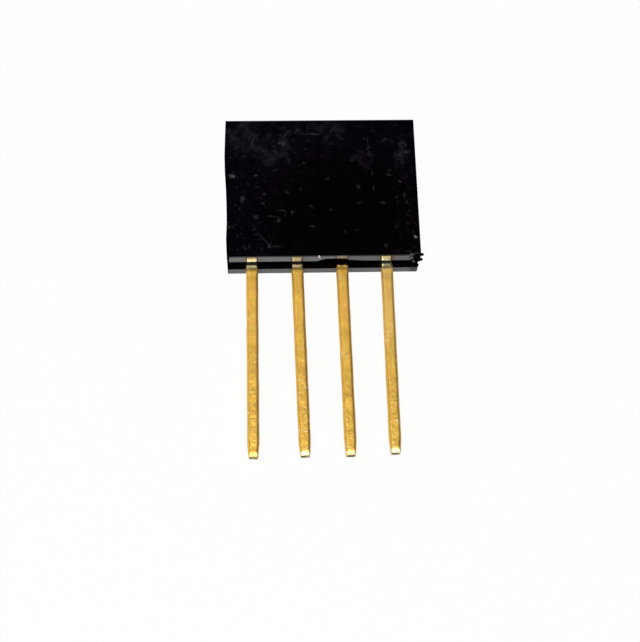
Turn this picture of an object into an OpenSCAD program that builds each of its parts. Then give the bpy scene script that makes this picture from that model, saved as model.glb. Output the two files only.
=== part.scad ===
// Female pin header strip: one black moulding with four square sockets, and four stamped
// contacts, each one piece from its spring leaves to its long board tail.
// It lies on its back. X runs along the row, Y from the tails up to the socket mouths,
// and Z out of the front face. The origin is under the middle of the row, at the board
// seat, on the surface that the strip lies on. All sizes are in millimetres.

/* [Row] */
// Distance from one contact to the next
pitch = 2.54; // [2.3:0.01:3.5]

/* [Housing] */
// Height of the moulding, from the board seat to the socket mouths
body_h = 8.5; // [7:0.1:12]
// Thickness of the moulding, front to back
body_t = 2.45; // [2.2:0.05:3.2]
// From the first contact's axis to the neatly cut end
neat_end = 1.34; // [1.2:0.01:2]
// From the last contact's axis to the roughly cut end
rough_end = 1.85; // [1.4:0.01:2.4]
// Chamfer on the outer edges of the moulding
body_edge = 0.05; // [0.02:0.01:0.12]

/* [Sockets] */
// Side of a socket's square mouth
mouth_w = 1.5; // [1.2:0.05:1.8]
// Side of the square throat below the mouth's slopes
throat_w = 0.84; // [0.76:0.01:1]
// Depth of the mouth's slopes
slope_h = 0.6; // [0.3:0.05:0.9]
// Length of the throat
throat_h = 0.35; // [0.2:0.05:0.6]
// Width of a spring cavity, along the row
cavity_w = 1.8; // [1.7:0.02:2]
// Thickness of a spring cavity, front to back
cavity_t = 1.2; // [1:0.05:1.5]
// Height of the solid base that the contacts are pressed into
base_h = 2.1; // [1.8:0.05:2.6]

/* [Underside] */
// Width of the channel between the two rails, front to back
channel_t = 1.1; // [0.75:0.01:1.2]
// Depth of the channel
channel_h = 0.38; // [0.3:0.01:0.5]
// Bevel round each contact's slot in the channel floor
slot_bevel = 0.08; // [0.02:0.01:0.12]

/* [Tails] */
// Width of a tail, along the row
tail_w = 0.64; // [0.5:0.01:0.8]
// Thickness of a tail, front to back
tail_t = 0.6; // [0.45:0.01:0.7]
// Length of a tail below the board seat
tail_len = 11.3; // [3:0.1:16]
// Chamfer on the long edges of a tail
tail_edge = 0.1; // [0.02:0.01:0.16]
// Length over which a tail narrows to its tip
tip_h = 0.87; // [0.4:0.01:1.6]
// Width of a tail at its very end
tip_w = 0.48; // [0.3:0.01:0.5]
// Thickness of a tail at its very end
tip_t = 0.44; // [0.25:0.01:0.45]
// Length of the short bevels, front and back, at the very end
tip_bevel_h = 0.24; // [0.08:0.01:0.3]
// Thickness of the coined neck, where a tail leaves the moulding
neck_t = 0.57; // [0.44:0.01:0.7]
// How far the neck reaches below the board seat
neck_h = 0.27; // [0.1:0.01:0.6]
// Length of the ramp from the neck to the full thickness
neck_ramp = 0.16; // [0.05:0.01:0.4]
// Lean of each tail along the row, in degrees, towards the rough end
tail_lean = [-1.08, 0.34, 0.16, -0.25]; // [-3:0.01:3]
// How much longer each tail is than the length above
tail_over = [0.04, 0.01, 0.02, -0.06]; // [-0.3:0.01:0.3]

/* [Anchors and springs] */
// Width of a contact's anchor plate, without its barbs
anchor_w = 1.36; // [1.2:0.01:1.4]
// How far each barb stands out of the anchor plate
barb = 0.08; // [0.03:0.01:0.1]
// Play of a contact in its slot, on each side
play = 0.01; // [0.005:0.005:0.03]
// Thickness of a spring leaf
leaf_t = 0.2; // [0.12:0.01:0.24]
// Width of a spring leaf, front to back
leaf_w = 0.8; // [0.7:0.01:0.84]
// Gap between the two leaves where they grip a pin
grip_gap = 0.46; // [0.3:0.01:0.6]
// From the underside of the throat down to the leaves' tips
leaf_drop = 0.4; // [0.1:0.05:0.8]
// Length of the flare above the grip
flare_h = 0.75; // [0.4:0.05:1]
// How far each leaf's tip flares out from the grip
flare_w = 0.17; // [0.1:0.01:0.2]

/* [Hidden] */

ways = 4;
first_x = -(ways - 1) / 2 * pitch;
last_x = -first_x;
mid_z = body_t / 2;

// The two ends of the moulding
neat_x = first_x - neat_end;
rough_x = last_x + rough_end;

// Heights inside a socket, from the mouth down
throat_top = body_h - slope_h;
cavity_top = throat_top - throat_h;
leaf_top = cavity_top - leaf_drop;
grip_y = leaf_top - flare_h;

// The slot that a contact is pushed up through, and the anchor in it
slot_w = anchor_w + 2 * (barb + play);
slot_t = leaf_w + 2 * play;
anchor_gap = 0.12;
anchor_y = channel_h + anchor_gap;
barb_h = 0.34;
barb_step = 0.05;
barb_rise = 0.2;
barb_pitch = 0.5;
dimple_r = 0.22;

// Where each leaf stands on the anchor, and how it bends
leaf_root_x = (anchor_w - leaf_t) / 2;
leaf_grip_x = (grip_gap + leaf_t) / 2;
leaf_root_h = 0.5;
leaf_straight_h = 0.2;
leaf_steps = 14;
flare_steps = 6;

// The inner edges of the two rails
rail_back_z = mid_z - channel_t / 2;
rail_front_z = mid_z + channel_t / 2;

// The saw's wander along the neat end, from the seat up to the mouths
wander = [0, 0.05, 0.07, 0.01, 0, 0.01, 0.05, 0.05, 0];

// What the cutter left on the rough end: height across the part as a share of the
// thickness, reach, width front to back, and lowest and highest point of each spur
spurs = [
    [0.94, 0.16, 0.2, 0, 0.22],
    [0.86, 0.05, 0.16, 0.05, 0.22],
    [0.72, 0.15, 0.2, -0.08, 0.15],
    [0.24, 0.05, 0.24, 0.06, 0.3],
    [0.08, 0.03, 0.12, 0.04, 0.2],
];
spur_root = 0.12;
spur_tip = 0.4;

// Chips broken out of the stub's underside: where each one starts and ends, measured from
// the rough end, and the corners of its section, as a share of the thickness and a height
chips = [
    [-0.55, -0.15, [[0.6, -0.1], [0.6, 0.28], [0.79, 0.2], [0.82, -0.1]]],
    [-0.63, -0.28, [[0.8, -0.1], [0.83, 0.06], [1.02, 0.12], [1.02, -0.1]]],
    [-0.32, 0.22, [[0.76, -0.1], [0.8, 0.02], [1.02, 0.17], [1.02, -0.1]]],
];

// Where the front rail's inner edge is missing, beside the third contact: where the scoop
// starts along the row, how far it eats into the rail and how deep it goes, and its reach
// along the row as pairs of a distance and a share
scoop_x = -0.16;
scoop_t = 0.34;
scoop_h = 0.24;
scoop_shares = [[0, 0], [0.2, 0.45], [0.42, 0.95], [0.6, 1], [1.5, 1], [1.8, 0.45], [2.7, 0]];

over = 1;
skin = 0.02;

body_colour = [0.05, 0.05, 0.06];
gold_colour = [0.85, 0.67, 0.3];

function contact_x(i) = first_x + i * pitch;

// A rectangle with its corners cut off, centred on the origin
function cut_rect(w, h, c) = [
    [c - w / 2, -h / 2], [w / 2 - c, -h / 2], [w / 2, c - h / 2], [w / 2, h / 2 - c],
    [w / 2 - c, h / 2], [c - w / 2, h / 2], [-w / 2, h / 2 - c], [-w / 2, c - h / 2]
];

// Turns a flat shape drawn as Y and Z into a prism along X, centred on the origin
module along_x(length) {
    rotate([90, 0, 90]) linear_extrude(height = length, center = true) children();
}

// Turns a flat shape drawn as X and Z into a prism along Y, from y0 up to y1
module along_y(y0, y1) {
    translate([0, y1, 0]) rotate([90, 0, 0]) linear_extrude(height = y1 - y0) children();
}

// The front outline of the moulding, with the wandering cut on the left
module front_outline() {
    last = len(wander) - 1;
    polygon(concat(
        [[rough_x - body_edge, 0], [rough_x, body_edge],
         [rough_x, body_h - body_edge], [rough_x - body_edge, body_h]],
        [for (i = [last : -1 : 0]) [neat_x - wander[i], body_h * i / last]]
    ));
}

// The solid block, with every long edge chamfered
module block() {
    length = rough_x - neat_x + 2 * over;
    intersection() {
        linear_extrude(height = body_t) front_outline();
        translate([(rough_x + neat_x) / 2, body_h / 2, mid_z])
            along_x(length) polygon(cut_rect(body_h, body_t, body_edge));
    }
}

// A four-sided funnel, from w0 wide at y0 to w1 wide at y1, straight past y1 by extra
module funnel(w0, w1, y0, y1, extra) {
    side = [[-w0 / 2, y0], [w0 / 2, y0], [w1 / 2, y1], [w1 / 2, y1 + extra],
            [-w1 / 2, y1 + extra], [-w1 / 2, y1]];
    intersection() {
        linear_extrude(height = w1 + over, center = true) polygon(side);
        rotate([0, 90, 0]) linear_extrude(height = w1 + over, center = true) polygon(side);
    }
}

// A box centred on the contact's axis, from y0 up to y1
module well(w, t, y0, y1) {
    translate([-w / 2, y0, -t / 2]) cube([w, y1 - y0, t]);
}

// All that is hollow at one contact: mouth, throat, spring cavity and anchor slot
module socket() {
    funnel(throat_w, mouth_w, throat_top, body_h, over);
    well(throat_w, throat_w, cavity_top - skin, throat_top + skin);
    well(cavity_w, cavity_t, base_h, cavity_top);
    well(slot_w, slot_t, channel_h - skin, base_h + skin);
    slot_lead();
}

// The bevel that guides a contact into its slot from below
module slot_lead() {
    low = channel_h;
    high = channel_h + slot_bevel;
    wide = slot_w / 2 + slot_bevel;
    linear_extrude(height = slot_t, center = true) polygon([
        [-wide, low - skin], [wide, low - skin], [wide, low],
        [slot_w / 2, high], [-slot_w / 2, high], [-wide, low]
    ]);
}

// The channel between the rails, open at both ends
module channel() {
    translate([neat_x - over, -over, rail_back_z])
        cube([rough_x - neat_x + 2 * over, over + channel_h, channel_t]);
}

// One chip, as a prism along the row
module chip(place) {
    translate([rough_x + (place[0] + place[1]) / 2, 0, 0]) along_x(place[1] - place[0])
        polygon([for (corner = place[2]) [corner[1], corner[0] * body_t]]);
}

// One sliver of plastic pulled out to a blunt point by the cutter
module spur(place) {
    reach = place[1];
    half_t = place[2] / 2;
    mid_y = (place[3] + place[4]) / 2;
    half_h = (place[4] - place[3]) / 2;
    translate([rough_x, 0, place[0] * body_t]) intersection() {
        linear_extrude(height = place[2], center = true)
            polygon([[-spur_root, mid_y - half_h], [reach, mid_y - half_h * spur_tip],
                     [reach, mid_y + half_h * spur_tip], [-spur_root, mid_y + half_h]]);
        along_y(place[3], place[4])
            polygon([[-spur_root, -half_t], [reach, -half_t * spur_tip],
                     [reach, half_t * spur_tip], [-spur_root, half_t]]);
    }
}

// The scoop out of the front rail's inner edge, which dies away towards both its ends
module scoop() {
    last = len(scoop_shares) - 1;
    translate([scoop_x, 0, rail_front_z]) along_y(-over, scoop_h) polygon(concat(
        [[scoop_shares[last][0], -skin], [0, -skin]],
        [for (s = scoop_shares) [s[0], s[1] * scoop_t]]
    ));
}

module housing() {
    color(body_colour) {
        difference() {
            block();
            for (i = [0 : ways - 1]) translate([contact_x(i), 0, mid_z]) socket();
            channel();
            for (place = chips) chip(place);
            scoop();
        }
        for (place = spurs) spur(place);
    }
}

// The tail from the anchor down to its tip, which lies at y = -length
module tail(length) {
    shoulder = tip_h - length;
    bulge = tip_h / 2 - length;
    bulge_w = tail_w - (tail_w - tip_w) / 3;
    bevel = tip_bevel_h - length;
    top = anchor_y - channel_h + skin;
    neck = -channel_h - neck_h;
    full = neck - neck_ramp;
    intersection() {
        linear_extrude(height = tail_t, center = true) polygon([
            [-tail_w / 2, top], [-tail_w / 2, shoulder], [-bulge_w / 2, bulge],
            [-tip_w / 2, -length], [tip_w / 2, -length], [bulge_w / 2, bulge],
            [tail_w / 2, shoulder], [tail_w / 2, top]
        ]);
        along_x(tail_w) polygon([
            [top, -neck_t / 2], [neck, -neck_t / 2], [full, -tail_t / 2], [bevel, -tail_t / 2],
            [-length, -tip_t / 2], [-length, tip_t / 2], [bevel, tail_t / 2],
            [full, tail_t / 2], [neck, neck_t / 2], [top, neck_t / 2]
        ]);
        along_y(-length, top) polygon(cut_rect(tail_w, tail_t, tail_edge));
    }
}

// The plate that is pressed into the base, with two barbs on each edge
module anchor() {
    well(anchor_w, tail_t, anchor_y, base_h);
    for (side = [0, 1], k = [0, 1]) mirror([side, 0, 0])
        linear_extrude(height = tail_t, center = true)
            barb_outline(anchor_y + barb_rise + k * barb_pitch);
    for (side = [0, 1]) mirror([0, 0, side])
        translate([0, (anchor_y + base_h) / 2, tail_t / 2 - skin])
            cylinder(h = leaf_w / 2 - tail_t / 2 + skin, r = dimple_r, $fn = 32);
}

// A barb slopes out as it rises, and ends in a step that stops it from backing out
module barb_outline(y) {
    edge = anchor_w / 2;
    polygon([[edge - skin, y], [edge, y], [edge + barb, y + barb_h - barb_step],
             [edge, y + barb_h], [edge - skin, y + barb_h]]);
}

// The middle line of the right-hand leaf: straight, then a smooth bend in, then the flare
bend_y = base_h + leaf_straight_h;
leaf_line = concat(
    [[leaf_root_x, base_h - leaf_root_h]],
    [for (k = [0 : leaf_steps]) let (s = k / leaf_steps)
        [leaf_root_x + (leaf_grip_x - leaf_root_x) * (1 - cos(180 * s)) / 2,
         bend_y + (grip_y - bend_y) * s]],
    [for (k = [1 : flare_steps]) let (s = k / flare_steps)
        [leaf_grip_x + flare_w * s * s, grip_y + flare_h * s]]
);

module leaf() {
    last = len(leaf_line) - 1;
    linear_extrude(height = leaf_w, center = true) polygon(concat(
        [for (p = leaf_line) [p[0] + leaf_t / 2, p[1]]],
        [for (k = [last : -1 : 0]) [leaf_line[k][0] - leaf_t / 2, leaf_line[k][1]]]
    ));
}

// One contact, number i along the row
module contact(i) {
    color(gold_colour) translate([contact_x(i), 0, mid_z]) {
        translate([0, channel_h, 0]) rotate([0, 0, tail_lean[i]])
            tail(tail_len + channel_h + tail_over[i]);
        anchor();
        leaf();
        mirror([1, 0, 0]) leaf();
    }
}

housing();
contact(0);  // contact_1
contact(1);  // contact_2
contact(2);  // contact_3
contact(3);  // contact_4
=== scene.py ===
import math

import bmesh
import bpy
import numpy as np
from bpy.props import FloatProperty, FloatVectorProperty, IntProperty, PointerProperty
from mathutils import Matrix, Vector


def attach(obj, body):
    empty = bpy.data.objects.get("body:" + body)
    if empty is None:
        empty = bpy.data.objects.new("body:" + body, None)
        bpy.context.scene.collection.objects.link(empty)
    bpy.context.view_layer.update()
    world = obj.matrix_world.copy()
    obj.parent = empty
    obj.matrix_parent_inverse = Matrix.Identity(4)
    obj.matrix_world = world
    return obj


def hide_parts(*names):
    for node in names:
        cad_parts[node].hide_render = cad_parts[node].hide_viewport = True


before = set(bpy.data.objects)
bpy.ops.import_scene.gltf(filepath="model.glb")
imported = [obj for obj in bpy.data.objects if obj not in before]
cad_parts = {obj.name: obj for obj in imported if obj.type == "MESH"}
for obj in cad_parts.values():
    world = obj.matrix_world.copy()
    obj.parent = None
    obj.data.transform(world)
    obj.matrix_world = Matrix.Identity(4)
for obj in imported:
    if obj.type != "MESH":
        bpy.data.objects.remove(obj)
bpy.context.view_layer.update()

bl_info = {
    "name": "Pin Header Strip Looks",
    "version": (1, 0, 0),
    "blender": (4, 5, 0),
    "location": "3D View > Sidebar > Header Strip",
    "description": "Moulding, plated contacts, dust and studio of a female pin header strip",
    "category": "Object",
}

MM = 0.001
ROOT = "root"
HOUSING = "housing"
CONTACTS = sorted(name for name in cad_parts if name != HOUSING)

# Where the camera stood, from the strip's known pitch: turns in degrees, lengths in mm
VIEW_TILT = 20.844
VIEW_YAW = -4.202
VIEW_ROLL = -2.295
VIEW_DISTANCE = 115.3
VIEW_TARGET = (0.0, -1.5, 1.25)
VIEW_SLIDE = (-0.03, -1.788)
FOCAL_PIXELS = 2049.0
IMAGE_WIDTH = 640
SENSOR_WIDTH = 36.0

# Edges that turn by more than this stay crisp
SHARP = math.radians(35)

# The lamp's lean from straight above, in degrees: to the left, and down the picture
LAMP_LEFT = -6.0
LAMP_LOW = -14.0
# How much of the floor is plain white to the camera, and to reflections and glass
FLOOR_GLOW = 0.95
MIRROR_GLOW = 0.5
# How far the floor reaches each way (mm)
FLOOR_HALF = 3000.0
# The room's brightness by how high the direction points, and how far it dims to the right
ROOM_STOPS = ((0.0, 1.0), (0.3, 0.95), (0.6, 0.45), (0.8, 0.008), (1.0, 0.004))
ROOM_SIDE = (0.15, 0.7)
ROOM_DIM = 0.75

# The contacts' places and sizes, in millimetres, as in the solids
PIVOT_Y = 0.38
TAIL_SUNK = 0.14
ANCHOR_LOW = 0.5
ANCHOR_TOP = 1.0
ANCHOR_HIGH = 2.1
ANCHOR_HALF = 0.68
PLATE_HALF = 0.3
BARB_STARTS = (0.7, 1.2)
BARB_OUT = 0.08
BARB_STEP = 0.29
BARB_HEIGHT = 0.34
DIMPLE_RADIUS = 0.22
DIMPLE_POINTS = 32
LEAF_THICK = 0.2
LEAF_DEPTH = 0.8
LEAF_ROOT_X = 0.58
LEAF_GRIP_X = 0.33
LEAF_SUNK = 0.5
LEAF_ROUND = 0.03
BEND_Y = 2.3
BEND_RINGS = 25
GRIP_Y = 6.4
FLARE_HEIGHT = 0.75
FLARE_OUT = 0.17
FLARE_RINGS = 10

# A tail's tip: distances from its end, with shares of the full width and thickness there
TIP_PLACES = (0.0, 0.02, 0.05, 0.08, 0.11, 0.14, 0.17, 0.2, 0.23, 0.26, 0.32, 0.4, 0.5, 0.66,
              0.8)
TIP_WIDTHS = ((0.0, 0.72), (0.02, 0.76), (0.1, 0.82), (0.3, 0.86), (0.45, 0.91), (0.7, 0.97),
              (0.9, 1.0))
TIP_DEPTHS = ((0.0, 0.71), (0.02, 0.74), (0.08, 0.85), (0.14, 0.925), (0.2, 0.97),
              (0.26, 0.99), (0.32, 1.0))
# The radius of the long edges at the very tip (mm), and how much it grows to a millimetre
TIP_ROUND = 0.04
TIP_ROUND_GAIN = 0.35
# How far up a tip its painted highlight reaches (mm), and how white that painted highlight is
# on each contact
TIP_HIGHLIGHT_REACH = 0.3
TIP_HIGHLIGHT = (0.1, 0.75, 0.4, 0.85)
# The corners of a CAD tail that lie this close to its end give the tip's place (mm)
TIP_BAND = 0.05
# The rings that close a tip: shares of the last section, and how far each is dished (mm)
CAP_SHARES = (0.2, 0.6, 0.93)
CAP_DIPS = (0.02, 0.012, 0.004)

# Rings of points along a tail (mm): the first even one from the tip, how far from the pivot
# they stop, their step, and the closer ones round the seat, as distances below it
RING_FIRST = 1.0
RING_STOP = 1.2
RING_STEP = 0.125
ROOT_RINGS = np.arange(0.7, -0.12, -0.04)
# A tail's and a leaf's section: steps round each corner, and points between two corners
TAIL_SECTION = (6, 5)
LEAF_SECTION = (3, 2)
# How far a tail's faces wander, and how far from the tip they begin to (mm)
WOBBLE = 0.004
WOBBLE_START = 0.5

# Each contact's root, from 0 to 1: how far its colour goes from a darker, browner one to a
# # pale painted highlight, and how smooth it is polished
ROOT_SHINE = (0.35, 0.03, 0.0, 1.0)
ROOT_MIRROR = (0.4, 0.45, 1.0, 0.5)
# How far down each root the polish goes, and over what length it ends (mm)
ROOT_REACH = (0.31, 0.33, 0.19, 0.33)
ROOT_SOFT = 0.32
# How far each root's front tapers towards the seat, in degrees, from where the polish ends
ROOT_TAPER = (2.0, 0.3, 0.0, 1.2)
# A tail's edge radius near its root: distances below the seat, and the radius there (mm)
ROOT_PLACES = (0.3, 0.9)
ROOT_ROUNDS = (0.07, 0.2)
# Brown lines of painted shade across the roots: the contact, counted from 0, how far below
# # the seat, reach (mm) and strength
SHADE_LINES = ((0, 0.4, 0.09, 0.55), (1, 0.4, 0.15, 0.45),
               (2, 0.17, 0.1, 0.45), (2, 0.36, 0.13, 0.6), (3, 0.24, 0.08, 0.45))
# Two small burrs on one contact's root, counted from 0: places across and below the seat,
# and half sizes (mm)
BURRED = 2
BURRS = ((-0.2, 0.18, 0.1, 0.06), (0.15, 0.2, 0.12, 0.07))
# How deep a burr is sunk and how high it stands (mm), and how much of the tip's painted
# # highlight and of the brown painted shade it takes
BURR_SUNK = 0.01
BURR_RISE = 0.014
BURR_HIGHLIGHT = 0.3
BURR_SHADE = 0.5

# What a contact's mesh holds at each point, from 0 to 1: facing to its side (from -1), cut
# # end, rubbed root, how far its colour goes to the pale painted highlight and how smooth that
# # is, the tip's painted highlight, and the brown line of painted shade
CONTACT_VALUES = ("side", "cut", "root", "shine", "mirror", "tip", "line")

# The coined neck at a tail's root: how far below the seat it ends and the full tail starts
# (mm), and the neck's share of the tail's thickness
NECK_PLACES = (0.27, 0.43)
NECK_SHARE = 0.95

# Marks on the plating, by height: where each starts and where it is full (mm)
WORN_LOW = (-4.0, -9.0)
DULL_NEAR = (-8.0, -0.4)
CALM_NEAR = (-1.2, -0.6)
# Painted light on the rightmost tail, as paler plating: where along the row, at what heights,
# # and how pale
LIGHT_ALONG = (2.0, 3.5)
LIGHT_HEIGHTS = (-7.0, -3.0)
LIGHT_SHARE = 0.3
# Roughness of the tails and of the roots, what the mirror polish takes off it, and the
# depth of the plating's relief (mm)
SATIN = 0.4
RUBBED = 0.3
POLISH = 0.2
GOLD_RELIEF = 0.026

# The height of the moulding's front face over the floor (mm)
FRONT_Z = 2.45
# Marks on the moulding: where each starts and where it is full (mm). Haze grows with the
# height, less so to the right, and grime lies to the left and the right
HAZE_LEAN = 0.35
HAZE_HIGH = (3.5, 7.5)
GRIME_LEFT = (-0.5, -3.5)
GRIME_RIGHT = (3.6, 4.8)
# The clean patch: its middle and reach along X and Y (mm), and how it fades
CLEAN_MIDDLE = (1.4, 2.4)
CLEAN_REACH = (4.6, 4.2)
CLEAN_FADE = (1.3, 0.4)
# Matt plastic: the torn stub past the score line, the sawn end, and deep in the channel
TORN_PAST = 0.25
TORN_HIGH = (0.4, 0.2)
TORN_FRONT = (FRONT_Z - 0.03, FRONT_Z - 0.08)
TORN_BACK = (0.7, 1.0)
SAWN_PAST = (0.05, 0.01)
CHANNEL_HIGH = ((0.1, 0.2), (0.5, 0.45))
CHANNEL_DEEP = ((0.5, 0.6), (FRONT_Z - 0.2, FRONT_Z - 0.3))
# The rails' undersides, a grey painted sheen under the front rail's left part, and a pale
# # painted reflection of the third contact on it
SEAT_HIGH = (0.03, 0.01)
SHEEN_DEEP = (1.6, 1.75)
SHEEN_ALONG = (1.9, 0.9)
REFLECTION_X = 1.21
REFLECTION_DEEP = (2.15, 2.25)
REFLECTION_BESIDE = (0.33, 0.24)
# Roughness of the clean plastic, what the seats take off it, and the relief's depth (mm)
GLOSSY = 0.13
SEAT_GLOSS = 0.08
PLASTIC_RELIEF = 0.03

# How far the finger marks wander (mm), and how each fades, by its squared reach
SMUDGE_SWAY = 1.2
SMUDGE_FADE = (1.3, 0.0)
# Finger marks on the front face: middle and reach along X and Y (mm)
SMUDGES = ((-4.1, 7.5, 1.1, 1.2), (-2.4, 6.5, 1.1, 1.1), (0.8, 7.7, 1.0, 0.9),
           (2.6, 6.1, 0.6, 0.4), (4.9, 6.3, 0.6, 1.2), (-1.2, 7.8, 0.7, 0.5))
# Specks on the front face: X, Y, width, height (mm), turn (degrees), and grey, 0 to 1
SPECKS = (
    (-4.86, 5.0, 0.34, 0.17, 10, 0.33), (-4.8, 4.97, 0.16, 0.12, 0, 0.42),
    (-3.51, 5.03, 0.12, 0.12, 0, 0.28), (-2.1, 7.05, 0.14, 0.13, 0, 0.26),
    (-1.88, 7.0, 0.22, 0.18, 20, 0.28), (-3.63, 7.2, 0.1, 0.34, -20, 0.22),
    (-1.7, 7.6, 0.12, 0.38, -40, 0.2), (-1.03, 7.85, 0.14, 0.1, 0, 0.2),
    (-0.13, 7.6, 0.6, 0.09, -3, 0.24), (-0.46, 8.05, 0.09, 0.3, 0, 0.2),
    (-1.5, 2.73, 0.15, 0.14, 0, 0.33), (-4.3, 3.6, 0.22, 0.28, 30, 0.24),
    (-3.06, 3.87, 0.12, 0.12, 0, 0.2), (-3.14, 3.3, 0.24, 0.1, 0, 0.18),
    (-0.97, 4.15, 0.14, 0.12, 0, 0.13), (-3.57, 2.48, 0.3, 0.16, -10, 0.19),
    (-0.4, 1.86, 0.3, 0.1, 0, 0.16), (-4.46, 2.95, 0.12, 0.12, 0, 0.13),
    (-2.4, 5.35, 0.24, 0.1, 15, 0.12), (-0.74, 5.8, 0.16, 0.16, 0, 0.15),
    (3.94, 7.2, 0.3, 0.16, 20, 0.17), (5.14, 6.87, 0.16, 0.15, 0, 0.24),
    (4.9, 7.0, 0.4, 0.14, 15, 0.14), (4.74, 6.25, 0.24, 0.11, 0, 0.2),
    (5.17, 6.43, 0.22, 0.17, 0, 0.22), (4.06, 5.0, 0.24, 0.15, -20, 0.18),
    (4.69, 4.6, 0.14, 0.12, 0, 0.22), (2.31, 4.27, 0.22, 0.16, 15, 0.23),
    (3.17, 4.2, 0.15, 0.24, 10, 0.21), (3.14, 5.13, 0.1, 0.34, 5, 0.15),
    (0.57, 4.8, 0.16, 0.24, 0, 0.13), (4.91, 3.74, 0.16, 0.24, 0, 0.21),
    (4.46, 3.62, 0.12, 0.12, 0, 0.2), (3.66, 3.28, 0.22, 0.16, 0, 0.21),
    (2.34, 3.28, 0.28, 0.1, 5, 0.13), (0.66, 2.87, 0.14, 0.12, 0, 0.13),
    (2.11, 1.6, 0.16, 0.12, 0, 0.1), (3.69, 0.63, 0.24, 0.16, 0, 0.19),
    (5.4, 1.13, 0.14, 0.14, 0, 0.85), (5.14, 2.75, 0.14, 0.12, 0, 0.12),
    (-5.08, 1.86, 0.16, 0.14, 0, 0.21), (-2.27, 2.2, 0.14, 0.12, 0, 0.24),
    (-2.86, 0.66, 0.16, 0.14, 0, 0.24),
)
# Lint on the front face: points along each hair, then its grey
HAIRS = (
    (((-1.9, 4.05), (-1.6, 3.83)), 0.19),
    (((-2.45, 2.88), (-1.9, 2.8), (-1.93, 2.48)), 0.17),
    (((-2.97, 2.5), (-2.25, 2.42), (-2.4, 2.17)), 0.19),
    (((-0.57, 3.2), (-0.23, 2.9)), 0.16),
    (((-3.5, 1.5), (-3.2, 1.12), (-2.9, 0.8), (-2.85, 0.62)), 0.18),
    (((-2.7, 0.68), (-2.05, 0.62)), 0.15),
    (((-4.3, 0.75), (-4.22, 0.5), (-4.0, 0.55), (-3.95, 0.75)), 0.17),
    (((-5.0, 1.93), (-4.57, 2.0)), 0.15),
    (((2.97, 7.55), (2.97, 6.75), (3.03, 6.13)), 0.14),
    (((1.31, 1.55), (1.54, 1.42)), 0.14),
    (((5.03, 3.34), (5.14, 3.1)), 0.18),
    (((4.74, 0.24), (5.14, 0.24)), 0.16),
)
# A hair's half width, how high its middle lies over the face, how far it wanders and over
# what length its ends taper (mm). Then its height and edge radius, as shares of its width,
# its width at the very ends as a share, and the share of its grey that is used
HAIR_HALF = 0.075
HAIR_LIFT = 0.004
HAIR_WAVE = 0.02
HAIR_TAPER = 0.06
HAIR_FLAT = 0.35
HAIR_ROUND = 0.34
HAIR_END = 0.4
HAIR_SHADE = 0.42
# A hair's section, as a tail's, and its rings: the least, and how many to a millimetre
HAIR_SECTION = (4, 1)
HAIR_RINGS = (8, 14)
# A dome's rings, as shares of its outline, how much each covers, its points to a ring, and
# how deep it is sunk and how high it stands (mm)
DOME_SHARES = (1.0, 0.8, 0.6, 0.4, 0.2)
DOME_COVERS = (0.0, 0.2, 0.5, 0.85, 1.0)
DOME_POINTS = 16
DOME_SUNK = 0.006
DOME_RISE = 0.022
# How far a speck's listed size is spread, the share of its grey that is used, and how much
# more of it is used to the left of this X (mm)
SPECK_SPREAD = 1.8
SPECK_SHADE = 0.54
SPECK_LEFT = (-1.5, 0.24)
# The white crumb on the front face's lower edge and a flake at the stub: place, half size
# and grey. Then how deep they are sunk and how high they stand (mm)
CRUMBS = ((-0.08, 0.03, 2.42, 0.085, 0.8), (5.3, 0.03, 1.6, 0.1, 0.29))
CRUMB_SUNK = 0.08
CRUMB_RISE = 0.05
CRUMB_SEED = 99
# Fine specks: two corners of their field, ranges of half size (mm) and of grey, and seeds
FINE_FIELD = ((-4.95, 0.3), (5.35, 8.1))
FINE_HALF = (0.05, 0.15)
FINE_GREY = (0.045, 0.1)
FINE_SEED = 7
FINE_DOME_SEED = 200
# How solid dust is, least and by its grey, then by its grain, and how its grey is bent
VEIL = (0.12, 1.7)
GRAIN = (0.6, 0.8)
GREY_POWER = 2.2


# Shader maths

class Value:
    """One shader socket. Plus, minus, times, divide and power on it add Math nodes."""

    def __init__(self, graph, socket):
        self.graph = graph
        self.socket = socket

    def math(self, operation, *others):
        return self.graph.node("ShaderNodeMath", {"operation": operation}, [self, *others])

    def __add__(self, other):
        return self.math("ADD", other)

    def __radd__(self, other):
        return self.graph.number(other).math("ADD", self)

    def __sub__(self, other):
        return self.math("SUBTRACT", other)

    def __rsub__(self, other):
        return self.graph.number(other).math("SUBTRACT", self)

    def __mul__(self, other):
        return self.math("MULTIPLY", other)

    def __rmul__(self, other):
        return self.graph.number(other).math("MULTIPLY", self)

    def __truediv__(self, other):
        return self.math("DIVIDE", other)

    def __pow__(self, other):
        return self.math("POWER", other)

    def clamped(self):
        return self.graph.node("ShaderNodeClamp", {}, [self])


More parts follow.
